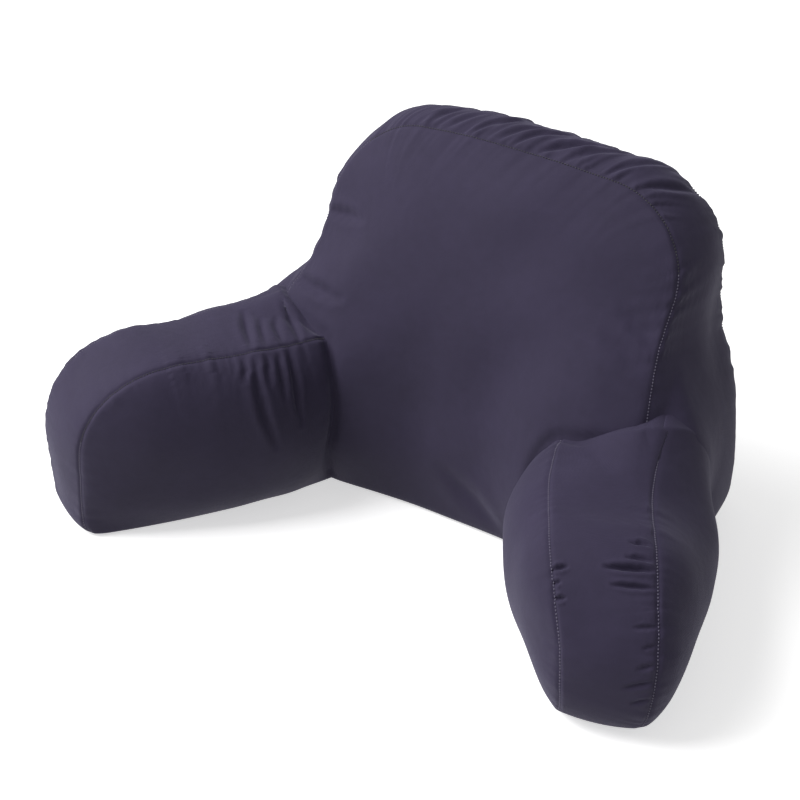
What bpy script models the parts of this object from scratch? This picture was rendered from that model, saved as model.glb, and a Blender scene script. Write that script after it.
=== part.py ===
"""Backrest pillow: a wedge-shaped back cushion with a boxed edge and two stuffed arms, in plain cotton.

Metres, +Z up. The sitter leans back towards +Y, between the arms, which reach out towards -Y.
The origin is on the floor, at the middle of the footprint's box.

Each cushion starts as a cube cut into cells. Its shares run across the panels, from the front
panel to the rear panel, and up. The front and rear panels are crowned inside their sewing lines,
and the strip between them swells out of those lines, so that every seam is drawn in.
"""

import bmesh
import bpy
import numpy as np
from mathutils import Matrix

COLLECTION = "backrest_pillow"

# Cotton cover: colour (linear), roughness and metallic value
COVER_COLOUR = (0.054, 0.045, 0.088, 1.0)
COVER_ROUGHNESS = 0.85
COVER_METALLIC = 0.0

# Cells of each cube: across or along, from front to rear, and up
BACK_CELLS = (28, 8, 24)
ARM_CELLS = (22, 10, 13)
CROWDING = 0.45  # how much smaller the cells at the seams are

# Back cushion: sewing line of its face panel
BACK_HEIGHT = 0.405
TOP_HALF_WIDTH = 0.211
HIP_HALF_WIDTHS = {"left": 0.247, "right": 0.231}
WAIST_HEIGHT = 0.277
HIP_HEIGHT = 0.158
SHOULDER_RADIUS = 0.102
TOP_RISE = 0.003
FOOT_TUCK = 0.014
FOOT_HEIGHT = 0.045

# Back cushion: depth, lean and filling
LEAN_DEG = 14.5
LEAN_POWER = 1.5  # above 1 the lower back is steeper than the upper one
BASE_DEPTH = 0.224
TOP_DEPTH = 0.074
FACE_SWELL = 0.020
WING_SWELL = 0.046  # how far the face comes forward beside the arms
WING_FROM = 0.025
WING_TO = 0.175
WING_TOP = 0.335
WING_FALL = 0.185
WING_FOOT_SHARE = 0.12
WING_FOOT_HEIGHT = 0.080
REAR_SWELL = 0.025
STRIP_SWELL = 0.0095
HIP_SWELL = 0.035
HIP_SWELL_REACH = 0.180
HIP_SWELL_FOOT = 0.060
BACK_CROWN = 2.6  # a higher power is a flatter middle with a rounder rim
TOP_TILT = 0.0085  # how much higher the left shoulder sits
TOP_SHIFT = 0.011  # how far the top leans to the right
SAG = {"depth": -0.003, "across": -0.039, "width": 0.090}

# Arms: a row for each, with side -1 at -X, angles in degrees and lengths in metres
ARMS = (
    {"name": "arm_left", "side": -1, "splay": 21.4, "length": 0.299, "root_height": 0.230,
     "front_height": 0.206, "front_radius": 0.110, "heel_radius": 0.024, "bow": 0.055, "inner_swell": 0.060, "outer_swell": 0.085},
    {"name": "arm_right", "side": 1, "splay": 16.3, "length": 0.273, "root_height": 0.234,
     "front_height": 0.171, "front_radius": 0.105, "heel_radius": 0.055, "bow": 0.052, "inner_swell": 0.057, "outer_swell": 0.084},
)
ROOT_RISE_POWER = 3.0
ROOT_DEPTH = 0.060
ROOT_ACROSS = 0.234
ROOT_FORWARD = 0.038
TOP_THICKNESS = 0.104
BASE_THICKNESS = 0.070
FRONT_TAPER = 1.05
ARM_STRIP_SWELL = 0.004
ROOT_TILT = 0.036  # how much higher the outer seam is than the inner one at the root
ROOT_TILT_REACH = 0.70
TILT_CENTRE = 0.6
ARM_CROWN = 2.2
ROOT_INNER_SHARE = 0.05
ROOT_OUTER_SHARE = 0.30

# Clearance between an arm's root and the back cushion
ROOT_GAP = 0.0005

# Forms and steps
DOME_POWER = 0.8
STRIP_POWER = 0.85
CURVE_STEPS = 40
SLOPE_STEP = 0.004
TINY = 1e-9


def eased(x):
    """0 below 0, 1 above 1, and a smooth S between."""
    x = np.clip(x, 0.0, 1.0)
    return x * x * (3.0 - 2.0 * x)


def crowded(x):
    """Shares of 0 to 1, moved towards both ends."""
    return x - CROWDING * np.sin(2.0 * np.pi * x) / (2.0 * np.pi)


def arc(centre, radius, start, end):
    """Points of an arc, with its angles in degrees."""
    angle = np.radians(np.linspace(start, end, CURVE_STEPS))
    return np.column_stack([centre[0] + radius * np.cos(angle), centre[1] + radius * np.sin(angle)])


def along(curve, share):
    """Points of a curve at shares of its length."""
    steps = np.hypot(*np.diff(curve, axis=0).T)
    reached = np.concatenate([[0.0], np.cumsum(steps)]) / steps.sum()
    return np.column_stack([np.interp(share, reached, curve[:, axis]) for axis in (0, 1)])


def panel_points(rim, s, t):
    """Points inside the bottom, right, top and left curves of a rim, s across and t up."""
    bottom, right, top, left = rim
    across, up = s[:, None], t[:, None]
    between_ends = (1 - up) * along(bottom, s) + up * along(top, s)
    between_sides = (1 - across) * along(left, t) + across * along(right, t)
    low = (1 - across) * bottom[0] + across * bottom[-1]
    high = (1 - across) * top[0] + across * top[-1]
    return between_ends + between_sides - (1 - up) * low - up * high


def outward(rim, s, t):
    """Unit directions out of the rim, square to it, for the points that lie on it, and 0 inside it."""
    bottom, right, top, left = rim
    total = np.zeros((len(s), 2))
    edges = ((bottom, s, t == 0, 1), (right, t, s == 1, 1), (top, s, t == 1, -1), (left, t, s == 0, -1))
    for curve, share, on_it, turn in edges:
        ahead = along(curve, share + SLOPE_STEP) - along(curve, share - SLOPE_STEP)
        ahead *= turn * on_it[:, None] / (np.hypot(*ahead.T)[:, None] + TINY)
        total += np.column_stack([ahead[:, 1], -ahead[:, 0]])
    return total / (np.hypot(*total.T)[:, None] + TINY)


def swelling(share, power):
    """1 in the middle of a span and 0 at both ends."""
    return 1.0 - np.abs(2.0 * share - 1.0) ** power


def strip_swelling(w):
    """How far the strip stands out of its seams, from its front edge to its rear one."""
    return (4.0 * w * (1.0 - w)) ** STRIP_POWER


def back_rim():
    """The sewing line of the face panel, as across and height."""
    centre = (TOP_HALF_WIDTH - SHOULDER_RADIUS, BACK_HEIGHT - SHOULDER_RADIUS)
    height = np.linspace(0.0, centre[1], CURVE_STEPS)
    narrowing = eased((WAIST_HEIGHT - height) / (WAIST_HEIGHT - HIP_HEIGHT))
    tucked = FOOT_TUCK * np.clip(1.0 - height / FOOT_HEIGHT, 0.0, 1.0) ** 2
    sides = {}
    for side, hip in HIP_HALF_WIDTHS.items():
        half_width = TOP_HALF_WIDTH + (hip - TOP_HALF_WIDTH) * narrowing - tucked
        line = np.column_stack([half_width, height])
        sides[side] = np.vstack([line, arc(centre, SHOULDER_RADIUS, 0, 45)[1:]])
    left = sides["left"] * [-1, 1]
    middle = np.linspace(centre[0], 0.0, CURVE_STEPS)[1:]
    crest = np.column_stack([middle, BACK_HEIGHT + TOP_RISE * (1 - (middle / centre[0]) ** 2)])
    half_top = np.vstack([arc(centre, SHOULDER_RADIUS, 45, 90), crest])
    top = np.vstack([half_top * [-1, 1], half_top[-2::-1]])
    return np.array([left[0], sides["right"][0]]), sides["right"], top, left


def back_shape(s, w, t):
    """Points of the back cushion from their shares across, front to rear and up."""
    rim = back_rim()
    flat = panel_points(rim, s, t)
    level = flat[:, 1] / BACK_HEIGHT
    hips = eased((WAIST_HEIGHT - flat[:, 1]) / HIP_SWELL_REACH) * eased(flat[:, 1] / HIP_SWELL_FOOT)
    swell = (STRIP_SWELL + HIP_SWELL * hips) * strip_swelling(w)
    x, z = (flat + outward(rim, s, t) * swell[:, None]).T
    crown = (swelling(s, BACK_CROWN) * swelling(t, BACK_CROWN)) ** DOME_POWER
    lean = BACK_HEIGHT * np.tan(np.radians(LEAN_DEG))
    beside = eased((np.abs(flat[:, 0]) - WING_FROM) / (WING_TO - WING_FROM))
    beside *= eased((WING_TOP - flat[:, 1]) / WING_FALL)
    beside *= WING_FOOT_SHARE + (1 - WING_FOOT_SHARE) * eased(flat[:, 1] / WING_FOOT_HEIGHT)
    face = lean * level**LEAN_POWER - FACE_SWELL * crown - WING_SWELL * beside
    rear = BASE_DEPTH + (lean + TOP_DEPTH - BASE_DEPTH) * level + REAR_SWELL * crown
    settled = SAG["depth"] * np.exp(-(((x - SAG["across"]) / SAG["width"]) ** 2))
    z = z - (TOP_TILT * x / TOP_HALF_WIDTH + settled) * np.clip(z / BACK_HEIGHT, 0.0, 1.0) ** 2
    return np.column_stack([x + TOP_SHIFT * z / BACK_HEIGHT, (1 - w) * face + w * rear, z])


def arm_rim(arm):
    """The sewing line of an arm's panels, as distance along it from the root and height."""
    radius = arm["front_radius"]
    knee = (arm["length"] - radius, arm["front_height"] - radius)
    heel = (arm["length"] - arm["heel_radius"], arm["heel_radius"])
    reach = np.linspace(-ROOT_DEPTH, knee[0], CURVE_STEPS)
    before = (knee[0] - reach) / (knee[0] + ROOT_DEPTH)
    rise = (arm["root_height"] - arm["front_height"]) * before**ROOT_RISE_POWER
    ridge = np.column_stack([reach, arm["front_height"] + rise])
    top = np.vstack([ridge, arc(knee, radius, 90, 45)[1:]])
    right = np.vstack([arc(heel, heel[1], -45, 0), arc(knee, radius, 0, 45)])
    bottom = np.vstack([[[-ROOT_DEPTH, 0.0]], arc(heel, heel[1], -90, -45)])
    return bottom, right, top, np.array([bottom[0], ridge[0]])


def arm_shape(arm, s, w, t):
    """Points of an arm from their shares along it, from its inner to its outer panel, and up."""
    rim = arm_rim(arm)
    flat = panel_points(rim, s, t)
    swell = ARM_STRIP_SWELL * strip_swelling(w)
    reach, height = (flat + outward(rim, s, t) * swell[:, None]).T
    tilt = ROOT_TILT * eased(1.0 - s / ROOT_TILT_REACH) * flat[:, 1] / arm["root_height"]
    height = height + tilt * (w - TILT_CENTRE)
    out = flat[:, 0] / arm["length"]
    crown = ((1 - s ** (1.3 * ARM_CROWN)) * swelling(t, ARM_CROWN)) ** DOME_POWER
    fullness = eased(2.0 * s)
    inner_swell = arm["inner_swell"] * (ROOT_INNER_SHARE + (1 - ROOT_INNER_SHARE) * fullness)
    outer_swell = arm["outer_swell"] * (ROOT_OUTER_SHARE + (1 - ROOT_OUTER_SHARE) * fullness)
    taper = 1 + (FRONT_TAPER - 1) * np.clip(out, -0.3, 1.0)
    widening = (TOP_THICKNESS - BASE_THICKNESS) * flat[:, 1] / arm["root_height"]
    half = (BASE_THICKNESS + widening) * taper / 2
    bow = arm["bow"] * np.clip(out, 0.0, 1.0) ** 2
    aside = bow + (1 - w) * (-half - inner_swell * crown) + w * (half + outer_swell * crown)
    splay = np.radians(arm["splay"])
    root_x = ROOT_ACROSS - TOP_THICKNESS / 2 * np.cos(splay)
    root_y = ROOT_FORWARD - TOP_THICKNESS / 2 * np.sin(splay)
    x = root_x + reach * np.sin(splay) + aside * np.cos(splay)
    y = root_y - reach * np.cos(splay) + aside * np.sin(splay)
    return np.column_stack([arm["side"] * x, y, height])


def cut_cube(cells):
    """A cube from 0 to 1 on each axis, cut into cells along each of them."""
    block = bmesh.new()
    bmesh.ops.create_cube(block, size=1.0, matrix=Matrix.Translation((0.5, 0.5, 0.5)))
    for axis, count in enumerate(cells):
        crossing = [e for e in block.edges if abs((e.verts[0].co - e.verts[1].co).normalized()[axis]) > 0.9]
        bmesh.ops.subdivide_edges(block, edges=crossing, cuts=count - 1, use_grid_fill=True)
    return block


def cushion_mesh(name, cells, shape):
    """A closed mesh whose points a shape function places, with its lowest points flat on the floor."""
    block = cut_cube(cells)
    shares = crowded(np.round([vert.co[:] for vert in block.verts], 5))
    points = shape(*shares.T)
    points[:, 2] = np.maximum(points[:, 2], 0.0)
    for vert, point in zip(block.verts, points):
        vert.co = point
    bmesh.ops.recalc_face_normals(block, faces=block.faces)
    bmesh.ops.triangulate(block, faces=block.faces)
    mesh = bpy.data.meshes.new(name)
    block.to_mesh(mesh)
    block.free()
    mesh.shade_smooth()
    return mesh


def cover_material(name):
    """The plain cotton of one cushion's cover."""
    material = bpy.data.materials.new(name + "_cotton")
    material.use_nodes = True
    shader = material.node_tree.nodes["Principled BSDF"]
    shader.inputs["Base Color"].default_value = COVER_COLOUR
    shader.inputs["Roughness"].default_value = COVER_ROUGHNESS
    shader.inputs["Metallic"].default_value = COVER_METALLIC
    return material


def placed(name, mesh, collection):
    """An object of this mesh in a collection."""
    piece = bpy.data.objects.new(name, mesh)
    collection.objects.link(piece)
    return piece


def root_cutter(back, collection):
    """A slightly fattened copy of the back cushion, which shapes the arms' roots to it."""
    cutter = placed("root_cutter", back.data.copy(), collection)
    fatten = cutter.modifiers.new("clearance", "DISPLACE")
    fatten.strength = ROOT_GAP
    fatten.mid_level = 0.0
    cutter.hide_render = True
    cutter.display_type = "WIRE"
    return cutter


def cut_root(arm, cutter):
    """Takes the back cushion's space out of an arm's root."""
    cut = arm.modifiers.new("root", "BOOLEAN")
    cut.operation = "DIFFERENCE"
    cut.solver = "EXACT"
    cut.object = cutter


def centre_on_footprint(pieces):
    """Moves the meshes so that the middle of their box is over the origin."""
    corners = np.array([vert.co[:] for piece in pieces for vert in piece.data.vertices])
    middle = (corners.min(axis=0) + corners.max(axis=0)) / 2
    for mesh in {piece.data for piece in pieces}:
        mesh.transform(Matrix.Translation((-middle[0], -middle[1], 0.0)))


def main():
    """Clears the scene and builds the pillow."""
    for old in list(bpy.data.objects):
        bpy.data.objects.remove(old, do_unlink=True)
    parts = bpy.data.collections.new(COLLECTION)
    cutters = bpy.data.collections.new("cutters")
    for collection in (parts, cutters):
        bpy.context.scene.collection.children.link(collection)
    back = placed("backrest", cushion_mesh("backrest", BACK_CELLS, back_shape), parts)
    arms = []
    for row in ARMS:
        mesh = cushion_mesh(row["name"], ARM_CELLS, lambda s, w, t, row=row: arm_shape(row, s, w, t))
        arms.append(placed(row["name"], mesh, parts))
    centre_on_footprint([back, *arms])
    cutter = root_cutter(back, cutters)
    for arm in arms:
        cut_root(arm, cutter)
    for piece in [back, *arms]:
        piece.data.materials.append(cover_material(piece.name))


main()
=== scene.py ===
"""Backrest pillow, dressed: three stuffed cotton cushions sewn into one, on a pale floor.

Metres, +Z up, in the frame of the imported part. Each cushion starts as a cube cut into cells. Its
shares (s, w, t) run across or along it, from its front or inner panel to its rear or outer one, and
up. The seams lie on the cube's edges, so creases, puckers and stitches are placed by shares.
"""

import logging
from dataclasses import dataclass, field
from enum import Enum

import bmesh
import bpy
import numpy as np
from mathutils import Matrix, Vector
from mathutils.bvhtree import BVHTree
from mathutils.kdtree import KDTree


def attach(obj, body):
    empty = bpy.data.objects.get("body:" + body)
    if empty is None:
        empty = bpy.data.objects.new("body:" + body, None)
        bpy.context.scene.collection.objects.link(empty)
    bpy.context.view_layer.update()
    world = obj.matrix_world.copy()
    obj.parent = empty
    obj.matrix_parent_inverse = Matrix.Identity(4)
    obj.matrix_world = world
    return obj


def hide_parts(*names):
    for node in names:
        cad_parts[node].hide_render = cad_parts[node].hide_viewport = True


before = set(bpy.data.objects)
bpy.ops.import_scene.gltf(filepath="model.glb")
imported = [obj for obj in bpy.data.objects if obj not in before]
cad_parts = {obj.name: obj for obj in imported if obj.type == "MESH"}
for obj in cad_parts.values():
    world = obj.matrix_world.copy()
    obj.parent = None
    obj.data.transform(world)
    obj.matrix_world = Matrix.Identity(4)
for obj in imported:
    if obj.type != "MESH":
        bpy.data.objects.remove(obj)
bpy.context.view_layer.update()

LOG = logging.getLogger("backrest_pillow")
Array = np.ndarray
Shares = tuple[float, float, float]
CURVE_STEPS = 40
CREASE_STEPS = 60
SLOPE_STEP = 0.004
TINY = 1e-9
NEAR = 1e-4
UPWARDS = Vector((0.1, 0.2, 1.0)).normalized()


def eased(x: Array) -> Array:
    """0 below 0, 1 above 1, and a smooth S between."""
    x = np.clip(x, 0.0, 1.0)
    return x * x * (3.0 - 2.0 * x)


def bell(x: Array) -> Array:
    """1 at 0, falling smoothly to 0 at some distance on both sides."""
    return np.exp(-(x**2))


def arc(centre: tuple[float, float], radius: float, start: float, end: float) -> Array:
    """Points of an arc, with its angles in degrees."""
    angle = np.radians(np.linspace(start, end, CURVE_STEPS))
    return np.column_stack([centre[0] + radius * np.cos(angle), centre[1] + radius * np.sin(angle)])


def along(curve: Array, share: Array) -> Array:
    """Points of a curve at shares of its length."""
    reached = run_lengths(curve)
    reached = reached / reached[-1]
    return np.column_stack([np.interp(share, reached, column) for column in curve.T])


def run_lengths(curve: Array) -> Array:
    """Length of a curve from its start up to each of its points."""
    return np.concatenate([[0.0], np.cumsum(np.linalg.norm(np.diff(curve, axis=0), axis=1))])


def evened(curve: Array) -> Array:
    """A curve with its small kinks evened out, its ends kept."""
    reach = CREASE_STEPS // 8
    padded = np.pad(curve, ((reach, reach), (0, 0)), mode="edge")
    window = np.bartlett(2 * reach + 3)[1:-1]
    return np.column_stack([np.convolve(column, window / window.sum(), mode="valid") for column in padded.T])


def panel_points(rim: tuple[Array, ...], s: Array, t: Array) -> Array:
    """Points inside the bottom, right, top and left curves of a rim.

    Args:
        rim: The four curves, bottom and top from left to right, left and right upwards.
        s: Shares across.
        t: Shares up.

    Returns:
        One flat point for each pair of shares.
    """
    bottom, right, top, left = rim
    across, up = s[:, None], t[:, None]
    between_ends = (1 - up) * along(bottom, s) + up * along(top, s)
    between_sides = (1 - across) * along(left, t) + across * along(right, t)
    low = (1 - across) * bottom[0] + across * bottom[-1]
    high = (1 - across) * top[0] + across * top[-1]
    return between_ends + between_sides - (1 - up) * low - up * high


def outward(rim: tuple[Array, ...], s: Array, t: Array) -> Array:
    """Unit directions square out of the rim for the points on it, and 0 inside it."""
    bottom, right, top, left = rim
    total = np.zeros((len(s), 2))
    edges = ((bottom, s, t == 0, 1), (right, t, s == 1, 1), (top, s, t == 1, -1), (left, t, s == 0, -1))
    for curve, share, on_it, turn in edges:
        ahead = along(curve, share + SLOPE_STEP) - along(curve, share - SLOPE_STEP)
        ahead *= turn * on_it[:, None] / (np.hypot(*ahead.T)[:, None] + TINY)
        total += np.column_stack([ahead[:, 1], -ahead[:, 0]])
    return total / (np.hypot(*total.T)[:, None] + TINY)


def swelling(share: Array, power: float) -> Array:
    """1 in the middle of a span and 0 at both ends."""
    return 1.0 - np.abs(2.0 * share - 1.0) ** power


def rumple(distance: Array, pitch: float, seed: int) -> Array:
    """A smooth random rise and fall between -1 and 1 along a distance."""
    knots = np.random.default_rng(seed).uniform(-1.0, 1.0, 256)
    place = distance / pitch
    before = np.floor(place).astype(int)
    share = eased(place - before)
    return (1 - share) * knots[before % 256] + share * knots[(before + 1) % 256]


def lumps(points: Array, wavelength: float, seed: int) -> Array:
    """Uneven filling: a smooth field of about -1 to 1, with swells of about a wavelength."""
    random = np.random.default_rng(seed)
    total = np.zeros(len(points))
    waves = 14
    for _ in range(waves):
        direction = random.normal(size=3)
        direction /= np.linalg.norm(direction)
        turns = points @ direction / (wavelength * random.uniform(0.7, 1.5))
        total += np.sin(2 * np.pi * (turns + random.uniform()))
    return total / np.sqrt(waves)


def tree_of(targets: Array) -> KDTree:
    """Makes a tree that finds the nearest of some points."""
    tree = KDTree(len(targets))
    for number, place in enumerate(targets):
        tree.insert(place, number)
    tree.balance()
    return tree


def nearest(tree: KDTree, points: Array) -> tuple[Array, Array]:
    """Distance of each point from the nearest one in a tree, and the number of that one."""
    found = [tree.find(point)[1:] for point in points]
    return np.array([away for _, away in found]), np.array([number for number, _ in found])


def lies_inside(surface: BVHTree, point: Vector) -> bool:
    """Tells whether a point lies within a closed surface, by how often a line upwards leaves it."""
    crossings = 0
    hit = surface.ray_cast(point, UPWARDS)[0]
    while hit is not None:
        crossings += 1
        hit = surface.ray_cast(hit + UPWARDS * NEAR, UPWARDS)[0]
    return crossings % 2 == 1


def smoothed(mesh: bpy.types.Mesh, values: Array, weight: Array, rounds: int) -> Array:
    """Evens out three numbers on each vertex, such as its place, in several rounds.

    Args:
        mesh: The mesh, which is left alone.
        values: Three numbers for each vertex.
        weight: How far each vertex goes towards its neighbours' mean in a round, from 0 to 1.
        rounds: How often it goes.

    Returns:
        The new numbers.
    """
    ends = np.empty(len(mesh.edges) * 2, int)
    mesh.edges.foreach_get("vertices", ends)
    first, second = ends.reshape(-1, 2).T
    size = len(values)
    count = np.bincount(np.concatenate([first, second]), minlength=size)[:, None]
    for _ in range(rounds):
        total = np.column_stack([
            np.bincount(first, column[second], size) + np.bincount(second, column[first], size)
            for column in values.T
        ])
        values = values + (total / count - values) * weight[:, None]
    return values


def mesh_points(mesh: bpy.types.Mesh) -> Array:
    """The places of a mesh's vertices."""
    flat = np.empty(len(mesh.vertices) * 3)
    mesh.vertices.foreach_get("co", flat)
    return flat.reshape(-1, 3)


def mesh_normals(mesh: bpy.types.Mesh) -> Array:
    """The directions in which a mesh's vertices face."""
    flat = np.empty(len(mesh.vertices) * 3)
    mesh.vertices.foreach_get("normal", flat)
    return flat.reshape(-1, 3)


def move_to(mesh: bpy.types.Mesh, points: Array) -> None:
    """Puts a mesh's vertices in new places."""
    mesh.vertices.foreach_set("co", points.ravel())
    mesh.update()


def applied(piece: bpy.types.Object) -> None:
    """Applies every modifier of a piece to its mesh."""
    shaped = piece.evaluated_get(bpy.context.evaluated_depsgraph_get())
    mesh = bpy.data.meshes.new_from_object(shaped)
    mesh.name = piece.name
    old = piece.data
    piece.modifiers.clear()
    piece.data = mesh
    bpy.data.meshes.remove(old)


class Thread(Enum):
    """How a row of stitches shows against the cover: the light thread is its own colour, the dark one is painted
    shade, near-black where the seam lies in shadow.
    """

    DARK = "dark"
    LIGHT = "light"


@dataclass(frozen=True)
class Crease:
    """A fold pressed into a cushion along a path of shares. A negative depth is a ridge."""

    path: tuple[Shares, ...]
    width: float
    depth: float


@dataclass(frozen=True)
class Puckers:
    """Small pleats that a tight seam gathers, between two shares of its length."""

    seam: float
    start: float
    end: float
    pitch: float
    strip_depth: float
    panel_depth: float
    reach: float
    slant: float = 0.0


@dataclass(frozen=True)
class StitchRow:
    """A row of stitches beside a seam, between two shares of its length."""

    seam: float
    start: float
    end: float
    thread: Thread


@dataclass(frozen=True)
class CottonFinish:
    """Plain-woven dark cotton: matt, with a slight sheen, and a fine uneven weave."""

    colour: tuple[float, float, float] = (0.0312, 0.0245, 0.0548)
    fade: float = 0.16
    thread_pitch: float = 0.0007
    slub_pitch: float = 0.012
    weave_height: float = 0.00012
    roughness: float = 0.82
    sheen: float = 0.16

    def material(self, name: str) -> bpy.types.Material:
        """Makes the cotton of one piece.

        Args:
            name: Name of the piece.

        Returns:
            A material whose weave lies on the piece's own Object coordinates.
        """
        material = bpy.data.materials.new(name + "_cotton")
        material.use_nodes = True
        nodes, links = material.node_tree.nodes, material.node_tree.links
        shader = nodes["Principled BSDF"]
        shader.inputs["Roughness"].default_value = self.roughness
        shader.inputs["Sheen Weight"].default_value = self.sheen
        shader.inputs["Sheen Roughness"].default_value = 0.45
        shader.inputs["Sheen Tint"].default_value = (0.75, 0.72, 1.0, 1.0)
        shader.inputs["Specular IOR Level"].default_value = 0.28
        place = nodes.new("ShaderNodeTexCoord")
        tone = nodes.new("ShaderNodeTexNoise")
        tone.inputs["Scale"].default_value = 9.0
        tone.inputs["Detail"].default_value = 5.0
        links.new(place.outputs["Object"], tone.inputs["Vector"])
        slub = nodes.new("ShaderNodeTexNoise")
        slub.inputs["Scale"].default_value = 1.0 / self.slub_pitch
        slub.inputs["Detail"].default_value = 6.0
        links.new(place.outputs["Object"], slub.inputs["Vector"])
        ramp = nodes.new("ShaderNodeValToRGB")
        ramp.color_ramp.elements[0].position = 0.25
        ramp.color_ramp.elements[1].position = 0.75
        ramp.color_ramp.elements[0].color = (*[c * (1 - self.fade) for c in self.colour], 1.0)
        ramp.color_ramp.elements[1].color = (*[c * (1 + self.fade) for c in self.colour], 1.0)
        mix = nodes.new("ShaderNodeMath")
        mix.operation = "MULTIPLY_ADD"
        mix.inputs[1].default_value = 0.35
        links.new(slub.outputs["Fac"], mix.inputs[0])
        scaled = nodes.new("ShaderNodeMath")
        scaled.operation = "MULTIPLY"
        scaled.inputs[1].default_value = 0.65
        links.new(tone.outputs["Fac"], scaled.inputs[0])
        links.new(scaled.outputs[0], mix.inputs[2])
        links.new(mix.outputs[0], ramp.inputs["Fac"])
        links.new(ramp.outputs["Color"], shader.inputs["Base Color"])
        threads = nodes.new("ShaderNodeMath")
        threads.operation = "ADD"
        for way, axis in enumerate(("X", "Z")):
            wave = nodes.new("ShaderNodeTexWave")
            wave.bands_direction = axis
            wave.inputs["Scale"].default_value = 0.31416 / self.thread_pitch
            wave.inputs["Distortion"].default_value = 1.5
            wave.inputs["Detail"].default_value = 1.0
            links.new(place.outputs["Object"], wave.inputs["Vector"])
            links.new(wave.outputs["Fac"], threads.inputs[way])
        bump = nodes.new("ShaderNodeBump")
        bump.inputs["Strength"].default_value = 0.5
        bump.inputs["Distance"].default_value = self.weave_height
        links.new(threads.outputs[0], bump.inputs["Height"])
        soft = nodes.new("ShaderNodeBump")
        soft.inputs["Strength"].default_value = 0.35
        soft.inputs["Distance"].default_value = 0.0012
        links.new(slub.outputs["Fac"], soft.inputs["Height"])
        links.new(bump.outputs["Normal"], soft.inputs["Normal"])
        links.new(soft.outputs["Normal"], shader.inputs["Normal"])
        return material


@dataclass(frozen=True)
class ThreadFinish:
    """Sewing thread in one colour."""

    colour: tuple[float, float, float]

    def material(self, name: str) -> bpy.types.Material:
        """Makes the thread's material, for the piece of this name."""
        material = bpy.data.materials.new(name + "_thread")
        material.use_nodes = True
        nodes, links = material.node_tree.nodes, material.node_tree.links
        shader = nodes["Principled BSDF"]
        shader.inputs["Roughness"].default_value = 0.6
        shader.inputs["Sheen Weight"].default_value = 0.3
        place = nodes.new("ShaderNodeTexCoord")
        tone = nodes.new("ShaderNodeTexNoise")
        tone.inputs["Scale"].default_value = 300.0
        links.new(place.outputs["Object"], tone.inputs["Vector"])
        ramp = nodes.new("ShaderNodeValToRGB")
        ramp.color_ramp.elements[0].color = (*[c * 0.7 for c in self.colour], 1.0)
        ramp.color_ramp.elements[1].color = (*[c * 1.3 for c in self.colour], 1.0)
        links.new(tone.outputs["Fac"], ramp.inputs["Fac"])
        links.new(ramp.outputs["Color"], shader.inputs["Base Color"])
        return material


THREADS = {
    # The dark thread is painted shade: near-black stitches along stretches of seam that lie in shadow.
    Thread.DARK: ThreadFinish((0.004, 0.003, 0.007)),
    Thread.LIGHT: ThreadFinish((0.115, 0.100, 0.165)),
}


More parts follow.
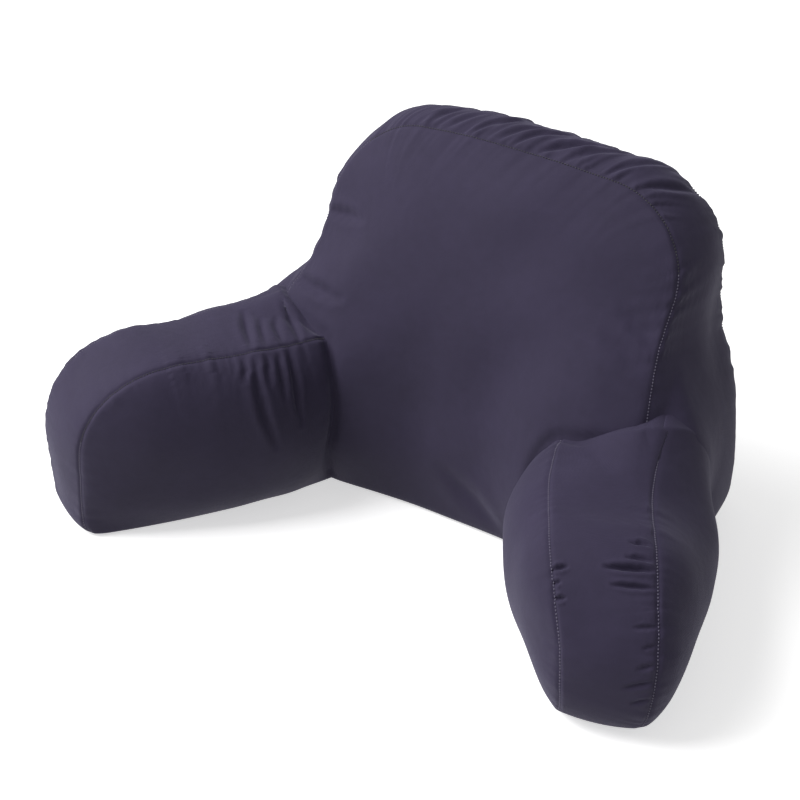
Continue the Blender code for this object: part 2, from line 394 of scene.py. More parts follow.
@dataclass
class Cushion:
    """One stuffed cushion: its cells, its sewing, its creases and the node that it stands for."""

    name: str
    cells: tuple[int, int, int]
    crowding: float = 0.45
    growth: float = 0.009
    pressure: float = 2.6
    cloth_mass: float = 0.15
    stiffness: float = 150.0
    bending: float = 0.05
    frames: int = 20
    cap: float = 0.009
    settle_rounds: int = 5
    levels: int = 2
    strip_power: float = 0.85
    dome_power: float = 0.8
    edge_width: float = 0.0100
    edge_rounds: int = 14
    groove_depth: float = 0.0013
    groove_width: float = 0.0028
    inward_share: float = 0.60
    lump_height: float = 0.0012
    lump_size: float = 0.085
    seed: int = 3
    stitch_pitch: float = 0.0032
    stitch_halves: tuple[float, float, float] = (0.0010, 0.0007, 0.0006)
    stitch_lift: float = 0.0004
    middle: tuple[float, float] = (0.0, 0.0)
    runs_up_both_sides: bool = True
    creases: tuple[Crease, ...] = ()
    puckers: tuple[Puckers, ...] = ()
    pucker_ease: float = 0.03
    stitches: tuple[StitchRow, ...] = ()
    piece: bpy.types.Object | None = field(default=None, init=False)

    def form(self, s: Array, w: Array, t: Array) -> Array:
        """Points of the plain stuffed form from their shares."""
        raise NotImplementedError

    def seam_place(self, s: Array, t: Array) -> Array:
        """Places from 0 to 1 along a seam for shares across and up."""
        raise NotImplementedError

    def placed(self, shares: Array) -> Array:
        """Points of the form in the part's frame, never below the floor."""
        points = self.form(*np.asarray(shares, float).T)
        points[:, :2] -= self.middle
        points[:, 2] = np.maximum(points[:, 2], 0.0)
        return points

    def strip_swelling(self, w: Array) -> Array:
        """How far the strip stands out of its seams, from its front edge to its rear one."""
        return (4.0 * w * (1.0 - w)) ** self.strip_power

    def seam_line(self, shares: Array, seam: float) -> tuple[Array, Array]:
        """The vertices along the seam of the panel at this share from front to rear.

        Args:
            shares: Shares of the cover's vertices.
            seam: 0 for the front or inner panel, 1 for the rear or outer one.

        Returns:
            The numbers of the seam's vertices in order, and each one's place from 0 to 1 along it.
        """
        s, w, t = shares.T
        rim = (t > 1 - NEAR) | (s > 1 - NEAR) | ((s < NEAR) & self.runs_up_both_sides)
        on_it = np.flatnonzero(rim & (np.abs(w - seam) < NEAR))
        place = self.seam_place(s[on_it], t[on_it])
        order = np.argsort(place)
        return on_it[order], place[order]

    def plain_mesh(self) -> bpy.types.Mesh:
        """Cuts the cube into cells and shapes it, keeping each vertex's shares on the mesh."""
        block = bmesh.new()
        bmesh.ops.create_cube(block, size=1.0, matrix=Matrix.Translation((0.5, 0.5, 0.5)))
        for axis, count in enumerate(self.cells):
            crossing = [e for e in block.edges if abs((e.verts[0].co - e.verts[1].co).normalized()[axis]) > 0.9]
            bmesh.ops.subdivide_edges(block, edges=crossing, cuts=count - 1, use_grid_fill=True)
        shares = np.round([vert.co[:] for vert in block.verts], 5)
        shares -= self.crowding * np.sin(2 * np.pi * shares) / (2 * np.pi)
        layer = block.verts.layers.float_vector.new("shares")
        for vert, point, share in zip(block.verts, self.placed(shares), shares):
            vert.co = point
            vert[layer] = share
        bmesh.ops.recalc_face_normals(block, faces=block.faces)
        if block.calc_volume(signed=True) < 0:
            bmesh.ops.reverse_faces(block, faces=block.faces)
        mesh = bpy.data.meshes.new(self.name)
        block.to_mesh(mesh)
        block.free()
        mesh.shade_smooth()
        return mesh

    def shares(self) -> Array:
        """The shares kept on the piece's vertices."""
        flat = np.empty(len(self.piece.data.vertices) * 3)
        self.piece.data.attributes["shares"].data.foreach_get("vector", flat)
        return flat.reshape(-1, 3)

    def stuffed(self) -> None:
        """Blows the cover up between its seams as cloth, caps how far it moves and keeps the result."""
        mesh = self.piece.data
        rest, facing = mesh_points(mesh), mesh_normals(mesh)
        s, w, t = self.shares().T
        on_side = (s < TINY) | (s > 1 - TINY) | (t > 1 - TINY)
        sewn = (on_side & ((w < TINY) | (w > 1 - TINY))) | (t < TINY)
        group = self.piece.vertex_groups.new(name="sewn")
        group.add(np.flatnonzero(sewn).tolist(), 1.0, "REPLACE")
        cloth = self.piece.modifiers.new("filling", "CLOTH")
        cloth.settings.quality = 5
        cloth.settings.mass = self.cloth_mass
        cloth.settings.use_pressure = True
        cloth.settings.uniform_pressure_force = self.pressure
        cloth.settings.effector_weights.gravity = 0.0
        cloth.settings.vertex_group_mass = group.name
        cloth.settings.shrink_min = -self.growth
        cloth.settings.tension_stiffness = self.stiffness
        cloth.settings.compression_stiffness = self.stiffness
        cloth.settings.shear_stiffness = self.stiffness / 3
        cloth.settings.bending_stiffness = self.bending
        cloth.collision_settings.use_collision = False
        cloth.point_cache.frame_end = self.frames
        for number in range(1, self.frames + 1):
            bpy.context.scene.frame_set(number)
        applied(self.piece)
        bpy.context.scene.frame_set(1)
        moved = mesh_points(self.piece.data) - rest
        outwards = (moved * facing).sum(axis=1)[:, None]
        moved -= facing * np.minimum(outwards, 0.0) * (1.0 - self.inward_share)
        moved = smoothed(self.piece.data, moved, np.where(sewn, 0.0, 0.6), self.settle_rounds)
        length = np.linalg.norm(moved, axis=1)[:, None]
        moved *= np.tanh(length / self.cap) * self.cap / (length + TINY)
        points = rest + moved
        points[:, 2] = np.maximum(points[:, 2], 0.0)
        move_to(self.piece.data, points)
        self.piece.vertex_groups.clear()

    def finer(self) -> None:
        """Subdivides the cover smoothly."""
        smooth = self.piece.modifiers.new("finer", "SUBSURF")
        smooth.levels = smooth.render_levels = self.levels
        smooth.boundary_smooth = "PRESERVE_CORNERS"
        applied(self.piece)

    def round_edges(self) -> None:
        """Lets the filling round the cover off along every seam."""
        mesh, shares = self.piece.data, self.shares()
        points = mesh_points(mesh)
        ends = ((shares < NEAR) | (shares > 1 - NEAR)).sum(axis=1)
        away, _ = nearest(tree_of(points[ends > 1]), points)
        points = smoothed(mesh, points, 0.5 * bell(away / self.edge_width), self.edge_rounds)
        points[:, 2] = np.maximum(points[:, 2], 0.0)
        move_to(mesh, points)

    def seam_relief(self, points: Array, shares: Array) -> Array:
        """How far the seams draw the cover in, with the puckers that they gather."""
        relief = np.zeros(len(points))
        w = shares[:, 1]
        on_panel = (w < NEAR) | (w > 1 - NEAR)
        for seam in (0.0, 1.0):
            numbers, places = self.seam_line(shares, seam)
            line = points[numbers]
            run = run_lengths(line)
            away, number = nearest(tree_of(line), points)
            relief -= self.groove_depth * bell(away / self.groove_width)
            side = np.where(on_panel & (np.abs(w - seam) < 0.5), -1.0, 1.0)
            for row_number, row in enumerate(self.puckers):
                if row.seam != seam:
                    continue
                place = places[number]
                here = eased((place - row.start) / self.pucker_ease) * eased((row.end - place) / self.pucker_ease)
                fall = np.exp(-away / row.reach) * (1 - 0.6 * bell(away / 0.003))
                depth = np.where(side > 0, row.strip_depth, row.panel_depth)
                seed = self.seed + 17 * row_number
                shifted = run[number] + row.slant * away * side + 50 * row.pitch
                wave = rumple(shifted, row.pitch, seed) + 0.5 * rumple(shifted, row.pitch * 0.55, seed + 1)
                relief += here * fall * depth * (wave - 0.25)
        return relief

    def crease_relief(self, points: Array, shares: Array) -> Array:
        """How far the creases go in at each point."""
        relief = np.zeros(len(points))
        steps = np.linspace(0.0, 1.0, CREASE_STEPS)
        by_shares = tree_of(shares)
        for row in self.creases:
            _, on_it = nearest(by_shares, along(np.array(row.path), steps))
            line = evened(points[on_it])
            reach = 4 * row.width
            close = np.flatnonzero(((points > line.min(0) - reach) & (points < line.max(0) + reach)).all(axis=1))
            away, number = nearest(tree_of(line), points[close])
            tapered = np.sin(np.pi * (0.04 + 0.92 * steps[number])) ** 0.8
            width = row.width * (0.5 + 0.5 * tapered)
            trough = bell(away / width) - 0.30 * bell((away - 1.9 * width) / width)
            relief[close] -= row.depth * tapered * trough
        return relief

    def dress(self, finish: CottonFinish) -> None:
        """Builds the cushion's cover with its filling, seams, puckers and creases."""
        self.piece = bpy.data.objects.new(self.name + "_cover", self.plain_mesh())
        bpy.context.scene.collection.objects.link(self.piece)
        self.stuffed()
        self.finer()
        self.round_edges()
        mesh, shares = self.piece.data, self.shares()
        points, normals = mesh_points(mesh), mesh_normals(mesh)
        relief = self.seam_relief(points, shares) + self.crease_relief(points, shares)
        relief += self.lump_height * lumps(points, self.lump_size, self.seed)
        points += normals * (relief * eased(points[:, 2] / 0.006))[:, None]
        points[:, 2] = np.maximum(points[:, 2], 0.0)
        move_to(mesh, points)
        mesh.materials.append(finish.material(self.name))

    def sew(self, row: StitchRow, others: list[BVHTree]) -> bpy.types.Object:
        """Makes a row of stitches along a seam, without those that other cushions hide.

        Args:
            row: Where the row runs, and its thread.
            others: The surfaces of the other cushions.

        Returns:
            The stitches, as one piece.
        """
        mesh = self.piece.data
        numbers, places = self.seam_line(self.shares(), row.seam)
        line, facing = mesh_points(mesh)[numbers], mesh_normals(mesh)[numbers]
        run = run_lengths(line)
        first, last = np.interp((row.start, row.end), places, run)
        block = bmesh.new()
        for reached in np.arange(first, last, self.stitch_pitch):
            here, ahead, out = (
                Vector([np.interp(spot, run, column) for column in rows.T])
                for spot, rows in ((reached, line), (reached + self.stitch_pitch, line), (reached, facing))
            )
            if any(lies_inside(other, here) for other in others):
                continue
            axes = (ahead - here).normalized(), out.cross(ahead - here).normalized(), out.normalized()
            turn = Matrix([axis * half for axis, half in zip(axes, self.stitch_halves)]).transposed().to_4x4()
            turn.translation = here + axes[2] * self.stitch_lift
            bmesh.ops.create_icosphere(block, subdivisions=1, radius=1.0, matrix=turn)
        stitches = bpy.data.meshes.new(self.name + "_stitches")
        block.to_mesh(stitches)
        block.free()
        stitches.shade_smooth()
        piece = bpy.data.objects.new(stitches.name, stitches)
        bpy.context.scene.collection.objects.link(piece)
        stitches.materials.append(THREADS[row.thread].material(piece.name))
        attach(piece, "root")
        return piece

    def hand_over(self, node: str) -> None:
        """Lets the cover stand for its node and ride on the body."""
        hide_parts(node)
        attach(self.piece, "root")


@dataclass
class BackCushion(Cushion):
    """The wedge-shaped back with its boxed edge."""

    height: float = 0.405
    top_half_width: float = 0.211
    hip_half_widths: tuple[float, float] = (0.247, 0.231)
    waist_height: float = 0.277
    hip_height: float = 0.158
    shoulder_radius: float = 0.102
    top_rise: float = 0.003
    foot_tuck: float = 0.014
    foot_height: float = 0.045
    lean_deg: float = 14.5
    lean_power: float = 1.5
    base_depth: float = 0.224
    top_depth: float = 0.074
    face_swell: float = 0.020
    wing_swell: float = 0.046
    wing_from: float = 0.025
    wing_to: float = 0.175
    wing_top: float = 0.335
    wing_fall: float = 0.185
    wing_foot_share: float = 0.12
    wing_foot_height: float = 0.080
    rear_swell: float = 0.025
    strip_swell: float = 0.0095
    hip_swell: float = 0.035
    hip_swell_reach: float = 0.180
    hip_swell_foot: float = 0.060
    crown_power: float = 2.6
    top_tilt: float = 0.0085
    top_shift: float = 0.011
    sag_depth: float = -0.003
    sag_across: float = -0.039
    sag_width: float = 0.090

    def rim(self) -> tuple[Array, ...]:
        """The sewing line of the face panel, as across and height."""
        centre = (self.top_half_width - self.shoulder_radius, self.height - self.shoulder_radius)
        height = np.linspace(0.0, centre[1], CURVE_STEPS)
        narrowing = eased((self.waist_height - height) / (self.waist_height - self.hip_height))
        tucked = self.foot_tuck * np.clip(1.0 - height / self.foot_height, 0.0, 1.0) ** 2
        sides = []
        for hip in self.hip_half_widths:
            half_width = self.top_half_width + (hip - self.top_half_width) * narrowing - tucked
            line = np.column_stack([half_width, height])
            sides.append(np.vstack([line, arc(centre, self.shoulder_radius, 0, 45)[1:]]))
        left = sides[0] * [-1, 1]
        middle = np.linspace(centre[0], 0.0, CURVE_STEPS)[1:]
        crest = np.column_stack([middle, self.height + self.top_rise * (1 - (middle / centre[0]) ** 2)])
        half_top = np.vstack([arc(centre, self.shoulder_radius, 45, 90), crest])
        top = np.vstack([half_top * [-1, 1], half_top[-2::-1]])
        return np.array([left[0], sides[1][0]]), sides[1], top, left

    def form(self, s: Array, w: Array, t: Array) -> Array:
        """Points of the back from their shares across, front to rear and up."""
        rim = self.rim()
        flat = panel_points(rim, s, t)
        level = flat[:, 1] / self.height
        hips = eased((self.waist_height - flat[:, 1]) / self.hip_swell_reach)
        hips *= eased(flat[:, 1] / self.hip_swell_foot)
        swell = (self.strip_swell + self.hip_swell * hips) * self.strip_swelling(w)
        x, z = (flat + outward(rim, s, t) * swell[:, None]).T
        crown = (swelling(s, self.crown_power) * swelling(t, self.crown_power)) ** self.dome_power
        lean = self.height * np.tan(np.radians(self.lean_deg))
        beside = eased((np.abs(flat[:, 0]) - self.wing_from) / (self.wing_to - self.wing_from))
        beside *= eased((self.wing_top - flat[:, 1]) / self.wing_fall)
        foot = eased(flat[:, 1] / self.wing_foot_height)
        beside *= self.wing_foot_share + (1 - self.wing_foot_share) * foot
        face = lean * level**self.lean_power - self.face_swell * crown - self.wing_swell * beside
        rear = self.base_depth + (lean + self.top_depth - self.base_depth) * level + self.rear_swell * crown
        settled = self.sag_depth * bell((x - self.sag_across) / self.sag_width)
        high = np.clip(z / self.height, 0.0, 1.0) ** 2
        z = z - (self.top_tilt * x / self.top_half_width + settled) * high
        return np.column_stack([x + self.top_shift * z / self.height, (1 - w) * face + w * rear, z])

    def seam_place(self, s: Array, t: Array) -> Array:
        """Up the left side, across the top and down the right side, a third each."""
        return np.where(t > 1 - NEAR, 1 + s, np.where(s < 0.5, t, 3 - t)) / 3


@dataclass
class Arm(Cushion):
    """One arm, with an inner panel, an outer panel and a strip over its top and front end."""

    side: int = 1
    splay: float = 16.3
    length: float = 0.273
    root_height: float = 0.234
    front_height: float = 0.171
    front_radius: float = 0.105
    heel_radius: float = 0.055
    bow: float = 0.052
    inner_swell: float = 0.057
    outer_swell: float = 0.084
    root_rise_power: float = 3.0
    root_depth: float = 0.060
    root_across: float = 0.234
    root_forward: float = 0.038
    top_thickness: float = 0.104
    base_thickness: float = 0.070
    front_taper: float = 1.05
    arm_strip_swell: float = 0.004
    crown_power: float = 2.2
    root_inner_share: float = 0.05
    root_outer_share: float = 0.30
    runs_up_both_sides: bool = False
    root_tilt: float = 0.036
    root_tilt_reach: float = 0.70
    tilt_centre: float = 0.6
    root_lift: float = -0.012
    root_lift_reach: float = 0.50
    root_lift_power: float = 1.0
    valley_reach: float = 0.080

    def rim(self) -> tuple[Array, ...]:
        """The sewing line of the arm's panels, as distance along it from the root and height."""
        knee = (self.length - self.front_radius, self.front_height - self.front_radius)
        heel = (self.length - self.heel_radius, self.heel_radius)
        reach = np.linspace(-self.root_depth, knee[0], CURVE_STEPS)
        before = (knee[0] - reach) / (knee[0] + self.root_depth)
        rise = (self.root_height - self.front_height) * before**self.root_rise_power
        ridge = np.column_stack([reach, self.front_height + rise])
        top = np.vstack([ridge, arc(knee, self.front_radius, 90, 45)[1:]])
        right = np.vstack([arc(heel, heel[1], -45, 0), arc(knee, self.front_radius, 0, 45)])
        bottom = np.vstack([[[-self.root_depth, 0.0]], arc(heel, heel[1], -90, -45)])
        return bottom, right, top, np.array([bottom[0], ridge[0]])

    def form(self, s: Array, w: Array, t: Array) -> Array:
        """Points of the arm from their shares along it, from inner to outer panel and up."""
        rim = self.rim()
        flat = panel_points(rim, s, t)
        swell = self.arm_strip_swell * self.strip_swelling(w)
        reach, height = (flat + outward(rim, s, t) * swell[:, None]).T
        level = flat[:, 1] / self.root_height
        height = height + self.root_tilt * eased(1.0 - s / self.root_tilt_reach) * level * (w - self.tilt_centre)
        height = height + self.root_lift * eased(1.0 - s / self.root_lift_reach) * level * w**self.root_lift_power
        out = flat[:, 0] / self.length
        crown = (1 - s ** (1.3 * self.crown_power)) * swelling(t, self.crown_power)
        crown = np.maximum(crown, 0.0) ** self.dome_power
        fullness = eased(2.0 * s)
        inner = self.inner_swell * (self.root_inner_share + (1 - self.root_inner_share) * fullness)
        outer = self.outer_swell * (self.root_outer_share + (1 - self.root_outer_share) * fullness)
        taper = 1 + (self.front_taper - 1) * np.clip(out, -0.3, 1.0)
        widening = (self.top_thickness - self.base_thickness) * flat[:, 1] / self.root_height
        half = (self.base_thickness + widening) * taper / 2
        bow = self.bow * np.clip(out, 0.0, 1.0) ** 2
        aside = bow + (1 - w) * (-half - inner * crown) + w * (half + outer * crown)
        splay = np.radians(self.splay)
        root_x = self.root_across - self.top_thickness / 2 * np.cos(splay)
        root_y = self.root_forward - self.top_thickness / 2 * np.sin(splay)
        x = root_x + reach * np.sin(splay) + aside * np.cos(splay)
        y = root_y - reach * np.cos(splay) + aside * np.sin(splay)
        return np.column_stack([self.side * x, y, height])

    def seam_place(self, s: Array, t: Array) -> Array:
        """Along the top from the root and down the front end, a half each."""
        return np.where(t > 1 - NEAR, s, 2 - t) / 2


@dataclass
class Joining:
    """How the arms are sewn to the back: soft where they meet, and cut to fit each other."""

    inner_reach: float = 0.002
    press_depth: float = 0.0045
    press_width: float = 0.0060
    outer_over: float = 0.25
    full_from: float = 0.22
    overlap: float = 0.0015

    def soften(self, cushion: Cushion, surfaces: list[tuple[BVHTree, float]], outer: Array) -> None:
        """Raises a cover where it comes near another one, so that the two meet in a soft valley.

        Args:
            cushion: The cushion whose cover is raised.
            surfaces: The covers that it meets, each with the valley's reach on the outer side.
            outer: For each vertex, 0 towards the sitter and 1 on the outer side.
        """
        mesh = cushion.piece.data
        points, normals = mesh_points(mesh), mesh_normals(mesh)
        raised = np.zeros(len(points))
        outer = outer * eased(points[:, 2] / self.full_from)
        for surface, outer_reach in surfaces:
            reach = self.inner_reach + (outer_reach - self.inner_reach) * outer
            for number, point in enumerate(points):
                place, _, _, away = surface.find_nearest(point, reach[number] + 3 * self.press_width)
                if place is None:
                    continue
                share = max(0.0, 1.0 - away / reach[number])
                pressed = self.press_depth * float(bell(away / self.press_width)) * (1.0 - outer[number])
                raised[number] += share * share * reach[number] / 4 - pressed
        raised *= eased(points[:, 2] / 0.02)
        move_to(mesh, points + normals * raised[:, None])

    def cut_to_fit(self, arm: bpy.types.Object, back: Cushion) -> None:
        """Takes the back's space out of an arm's root."""
        cutter = bpy.data.objects.new("cutter", back.piece.data.copy())
        bpy.context.scene.collection.objects.link(cutter)
        points = mesh_points(cutter.data) - self.overlap * mesh_normals(cutter.data)
        points[:, 2] -= 3 * self.overlap * (points[:, 2] < 2 * self.overlap)
        move_to(cutter.data, points)
        cut = arm.modifiers.new("root", "BOOLEAN")
        cut.operation = "DIFFERENCE"
        cut.solver = "MANIFOLD"
        cut.object = cutter
        applied(arm)
        bpy.data.objects.remove(cutter)

    def trimmed_surface(self, arm: Cushion, back: Cushion) -> BVHTree:
        """The surface of a copy of an arm without the part of its root that lies in the back."""
        copy = bpy.data.objects.new("copy", arm.piece.data.copy())
        bpy.context.scene.collection.objects.link(copy)
        self.cut_to_fit(copy, back)
        surface = BVHTree.FromObject(copy, bpy.context.evaluated_depsgraph_get())
        bpy.data.objects.remove(copy)
        return surface

    def join(self, back: "BackCushion", arms: tuple["Arm", ...]) -> None:
        """Softens the valleys between the back and its arms, and fits the arms' roots to it."""
        back_surface = BVHTree.FromObject(back.piece, bpy.context.evaluated_depsgraph_get())
        arm_surfaces = [(self.trimmed_surface(arm, back), arm.valley_reach) for arm in arms]
        for arm in arms:
            self.soften(arm, [(back_surface, arm.valley_reach)], eased(arm.shares()[:, 1] * 1.4 - 0.2))
        self.soften(back, arm_surfaces, eased(back.shares()[:, 1] / self.outer_over))
        graph = bpy.context.evaluated_depsgraph_get()
        whole_arms = [BVHTree.FromObject(arm.piece, graph) for arm in arms]
        for cushion, others in ((back, whole_arms), *((arm, [BVHTree.FromObject(back.piece, graph)]) for arm in arms)):
            for row in cushion.stitches:
                LOG.info("%s: %d faces", cushion.name + " stitches", len(cushion.sew(row, others).data.polygons))
        for arm in arms:
            self.cut_to_fit(arm.piece, back)


@dataclass
class Studio:
    """Pale floor, soft light and the camera."""

    azimuth: float = 34.095
    elevation: float = 30.006
    distance: float = 1.5015
    target: tuple[float, float, float] = (-0.0009, -0.0544, 0.1805)
    focal_pixels: float = 1448.35
    picture_pixels: float = 800.0
    sensor: float = 36.0
    floor_size: float = 30.0
    world_strength: float = 0.34
    key_power: float = 136.0
    key_size: float = 2.4
    floor_glow: float = 0.56

    def light(self, name: str, place: tuple[float, float, float], power: float, size: float) -> None:
        """Adds a square area light that faces the pillow."""
        data = bpy.data.lights.new(name, "AREA")
        data.energy = power
        data.size = size
        lamp = bpy.data.objects.new(name, data)
        lamp.location = place
        aim = Vector((0.0, 0.0, 0.15)) - Vector(place)
        lamp.rotation_euler = aim.to_track_quat("-Z", "Y").to_euler()
        bpy.context.scene.collection.objects.link(lamp)

    def floor(self) -> None:
        """Lays the floor."""
        block = bmesh.new()
        bmesh.ops.create_grid(block, x_segments=1, y_segments=1, size=self.floor_size / 2)
        mesh = bpy.data.meshes.new("floor")
        block.to_mesh(mesh)
        block.free()
        floor = bpy.data.objects.new("floor", mesh)
        floor.location.z = -0.0005
        material = bpy.data.materials.new("floor_white")
        material.use_nodes = True
        shader = material.node_tree.nodes["Principled BSDF"]
        shader.inputs["Base Color"].default_value = (0.92, 0.92, 0.92, 1.0)
        shader.inputs["Roughness"].default_value = 0.9
        shader.inputs["Specular IOR Level"].default_value = 0.1
        shader.inputs["Emission Color"].default_value = (1.0, 1.0, 1.0, 1.0)
        shader.inputs["Emission Strength"].default_value = self.floor_glow
        mesh.materials.append(material)
        floor.visible_diffuse = False
        bpy.context.scene.collection.objects.link(floor)

    def camera(self) -> None:
        """Sets up the camera at the photograph's angle."""
        azimuth, elevation = np.radians(self.azimuth), np.radians(self.elevation)
        flat = np.cos(elevation)
        backwards = Vector((np.sin(azimuth) * flat, -np.cos(azimuth) * flat, np.sin(elevation)))
        data = bpy.data.cameras.new("camera")
        data.sensor_width = self.sensor
        data.lens = self.sensor * self.focal_pixels / self.picture_pixels
        camera = bpy.data.objects.new("camera", data)
        camera.location = Vector(self.target) + backwards * self.distance
        camera.rotation_euler = backwards.to_track_quat("Z", "Y").to_euler()
        bpy.context.scene.collection.objects.link(camera)
        bpy.context.scene.camera = camera

    def set_up(self) -> None:
        """Builds the floor, the lights and the camera."""
        self.floor()
        self.camera()
        world = bpy.data.worlds.new("studio")
        world.use_nodes = True
        world.node_tree.nodes["Background"].inputs["Color"].default_value = (1.0, 1.0, 1.0, 1.0)
        world.node_tree.nodes["Background"].inputs["Strength"].default_value = self.world_strength
        bpy.context.scene.world = world
        bpy.context.scene.view_settings.view_transform = "Standard"
        self.light("key", (-1.8, -1.3, 2.5), self.key_power, self.key_size)


# Folds that show in the covers, from where each starts to where it dies out
BACK_CREASES = (
    Crease(((0.215, 0.05, 1.0), (0.235, 0.35, 1.0), (0.26, 0.6, 1.0)), width=0.0045, depth=0.0042),
    Crease(((0.36, 0.02, 1.0), (0.39, 0.3, 1.0), (0.45, 0.7, 1.0)), width=0.0045, depth=0.0036),
    Crease(((0.44, 0.02, 1.0), (0.48, 0.35, 1.0), (0.53, 0.65, 1.0)), width=0.0040, depth=0.0028),
    Crease(((0.49, 0.02, 1.0), (0.53, 0.35, 1.0), (0.60, 0.75, 1.0)), width=0.0045, depth=0.0034),
    Crease(((0.565, 0.01, 1.0), (0.61, 0.25, 1.0), (0.70, 0.60, 1.0)), width=0.0050, depth=0.0056),
    Crease(((0.66, 0.05, 1.0), (0.72, 0.40, 1.0), (0.77, 0.70, 1.0)), width=0.0045, depth=0.0030),
    Crease(((0.78, 0.05, 1.0), (0.83, 0.40, 1.0), (0.88, 0.75, 1.0)), width=0.0045, depth=0.0030),
    Crease(((0.87, 0.05, 1.0), (0.93, 0.40, 1.0), (0.97, 0.75, 1.0)), width=0.0045, depth=0.0026),
    Crease(((0.28, 0.03, 1.0), (0.31, 0.3, 1.0), (0.34, 0.55, 1.0)), width=0.0040, depth=0.0026),
    Crease(((0.001, 0.0, 0.618), (0.085, 0.0, 0.583), (0.195, 0.0, 0.558)), width=0.0062, depth=0.0062),
    Crease(((0.001, 0.0, 0.788), (0.060, 0.0, 0.770), (0.150, 0.0, 0.744)), width=0.0058, depth=0.0050),
    Crease(((0.508, 0.0, 0.169), (0.59, 0.0, 0.109), (0.676, 0.0, 0.054)), width=0.012, depth=0.0030),
    Crease(((0.873, 0.0, 0.725), (0.961, 0.0, 0.705), (1.0, 0.0, 0.690)), width=0.0080, depth=0.0026),
    Crease(((0.85, 0.0, 0.66), (0.94, 0.0, 0.645), (1.0, 0.0, 0.640)), width=0.0080, depth=0.0020),
)
BACK_PUCKERS = (
    Puckers(seam=0.0, start=0.33, end=0.67, pitch=0.0085, strip_depth=0.0026, panel_depth=0.0008, reach=0.030, slant=-0.5),
    Puckers(seam=0.0, start=0.67, end=0.92, pitch=0.0095, strip_depth=0.0022, panel_depth=0.0012, reach=0.020, slant=0.5),
    Puckers(seam=0.0, start=0.08, end=0.33, pitch=0.0095, strip_depth=0.0022, panel_depth=0.0010, reach=0.020, slant=-0.5),
    Puckers(seam=1.0, start=0.05, end=0.95, pitch=0.0090, strip_depth=0.0024, panel_depth=0.0012, reach=0.028, slant=0.4),
)
LEFT_ARM_CREASES = (
    Crease(((0.509, 0.0, 0.985), (0.519, 0.0, 0.884), (0.51, 0.0, 0.736), (0.469, 0.0, 0.504)), width=0.0047, depth=0.0056),
    Crease(((0.39, 0.0, 0.985), (0.39, 0.0, 0.822), (0.387, 0.0, 0.600)), width=0.0043, depth=0.0050),
    Crease(((0.542, 0.0, 0.985), (0.556, 0.0, 0.872)), width=0.0035, depth=0.0026),
    Crease(((0.472, 0.0, 0.985), (0.486, 0.0, 0.830)), width=0.0035, depth=0.0030),
    Crease(((0.431, 0.0, 0.985), (0.441, 0.0, 0.760)), width=0.0035, depth=0.0034),
    Crease(((0.417, 0.758, 1.0), (0.468, 0.37, 1.0), (0.505, 0.02, 1.0)), width=0.0043, depth=0.0046),
    Crease(((0.285, 0.682, 1.0), (0.312, 0.333, 1.0), (0.337, 0.02, 1.0)), width=0.0043, depth=0.0044),
    Crease(((0.39, 0.55, 1.0), (0.426, 0.305, 1.0), (0.454, 0.02, 1.0)), width=0.0035, depth=0.0026),
    Crease(((0.34, 0.50, 1.0), (0.373, 0.328, 1.0), (0.403, 0.02, 1.0)), width=0.0035, depth=0.0028),
)
LEFT_ARM_PUCKERS = (
    Puckers(seam=0.0, start=0.10, end=0.42, pitch=0.0075, strip_depth=0.0016, panel_depth=0.0022, reach=0.022),
    Puckers(seam=0.0, start=0.42, end=0.97, pitch=0.0080, strip_depth=0.0008, panel_depth=0.0010, reach=0.010),
    Puckers(seam=1.0, start=0.10, end=0.97, pitch=0.0080, strip_depth=0.0009, panel_depth=0.0012, reach=0.014),
)
RIGHT_ARM_CREASES = (
    Crease(((0.822, 0.76, 1.0), (0.812, 0.97, 1.0)), width=0.0022, depth=0.0042),
    Crease(((0.873, 0.71, 1.0), (0.865, 0.97, 1.0)), width=0.0022, depth=0.0040),
    Crease(((0.914, 0.50, 1.0), (0.895, 0.97, 1.0)), width=0.0028, depth=0.0064),
    Crease(((0.958, 0.56, 1.0), (0.945, 0.97, 1.0)), width=0.0024, depth=0.0044),
    Crease(((1.0, 0.76, 0.860), (1.0, 0.98, 0.890)), width=0.0020, depth=0.0018),
    Crease(((1.0, 0.84, 0.741), (1.0, 0.99, 0.775)), width=0.0018, depth=0.0016),
    Crease(((1.0, 0.80, 0.60), (1.0, 0.98, 0.65)), width=0.0022, depth=0.0020),
    Crease(((1.0, 0.68, 0.45), (1.0, 0.98, 0.53)), width=0.0024, depth=0.0024),
    Crease(((1.0, 0.78, 0.33), (1.0, 0.98, 0.40)), width=0.0020, depth=0.0018),
    Crease(((0.946, 0.0, 1.0), (0.930, 0.17, 1.0)), width=0.0022, depth=0.0044),
    Crease(((0.982, 0.0, 1.0), (0.975, 0.09, 1.0)), width=0.0020, depth=0.0030),
    Crease(((1.0, 0.0, 0.945), (1.0, 0.12, 0.963)), width=0.0022, depth=0.0034),
)
RIGHT_ARM_PUCKERS = (
    Puckers(seam=0.0, start=0.10, end=0.97, pitch=0.0080, strip_depth=0.0008, panel_depth=0.0012, reach=0.010),
    Puckers(seam=1.0, start=0.30, end=0.97, pitch=0.0085, strip_depth=0.0014, panel_depth=0.0012, reach=0.014),
)
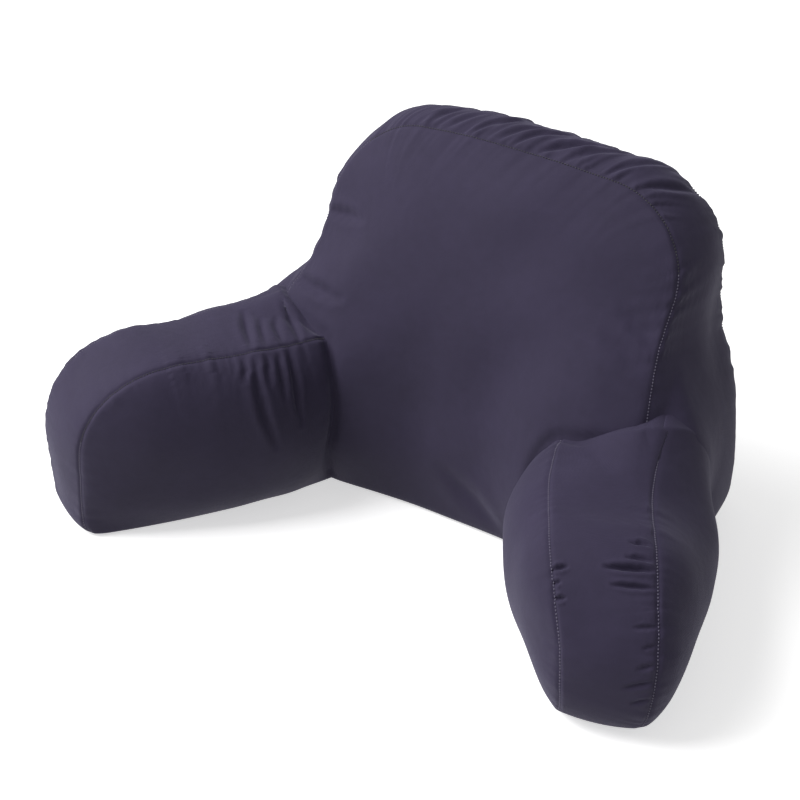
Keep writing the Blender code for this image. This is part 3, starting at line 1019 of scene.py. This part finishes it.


# Stretches of dark thread are painted shade on the stitches where the seam lies in shadow; the rest is the light
# thread's own colour.
BACK_STITCHES = (
    StitchRow(seam=0.0, start=0.06, end=0.34, thread=Thread.LIGHT),
    StitchRow(seam=0.0, start=0.34, end=0.71, thread=Thread.DARK),
    StitchRow(seam=0.0, start=0.71, end=0.97, thread=Thread.LIGHT),
    StitchRow(seam=1.0, start=0.03, end=0.97, thread=Thread.LIGHT),
)
LEFT_ARM_STITCHES = (
    StitchRow(seam=0.0, start=0.05, end=0.66, thread=Thread.DARK),
    StitchRow(seam=0.0, start=0.66, end=0.98, thread=Thread.LIGHT),
    StitchRow(seam=1.0, start=0.05, end=0.98, thread=Thread.LIGHT),
)
RIGHT_ARM_STITCHES = (
    StitchRow(seam=0.0, start=0.05, end=0.98, thread=Thread.LIGHT),
    StitchRow(seam=1.0, start=0.05, end=0.98, thread=Thread.LIGHT),
)


def main() -> None:
    """Dresses the pillow, reports each piece and sets the studio up."""
    logging.basicConfig(level=logging.INFO, format="%(message)s")
    back = BackCushion(
        "backrest", (56, 16, 30), crowding=0.25, creases=BACK_CREASES, puckers=BACK_PUCKERS, stitches=BACK_STITCHES
    )
    left = Arm(
        "arm_left", (40, 20, 26), creases=LEFT_ARM_CREASES, puckers=LEFT_ARM_PUCKERS,
        stitches=LEFT_ARM_STITCHES, side=-1, splay=21.4, length=0.299, root_height=0.230,
        front_height=0.206, front_radius=0.110, heel_radius=0.024, bow=0.055, inner_swell=0.060,
        outer_swell=0.085, root_lift=-0.036, valley_reach=0.060,
    )
    right = Arm(
        "arm_right", (40, 20, 26), creases=RIGHT_ARM_CREASES, puckers=RIGHT_ARM_PUCKERS,
        stitches=RIGHT_ARM_STITCHES,
    )
    cushions = (back, left, right)
    corners = np.vstack([mesh_points(cushion.plain_mesh()) for cushion in cushions])
    middle = (corners.min(axis=0) + corners.max(axis=0)) / 2
    finish = CottonFinish()
    for cushion in cushions:
        cushion.middle = (middle[0], middle[1])
        cushion.dress(finish)
        LOG.info("%s: %d vertices", cushion.name, len(cushion.piece.data.vertices))
    Joining().join(back, (left, right))
    for cushion in cushions:
        cushion.hand_over(cushion.name)
    Studio().set_up()


if __name__ == "__main__":
    main()
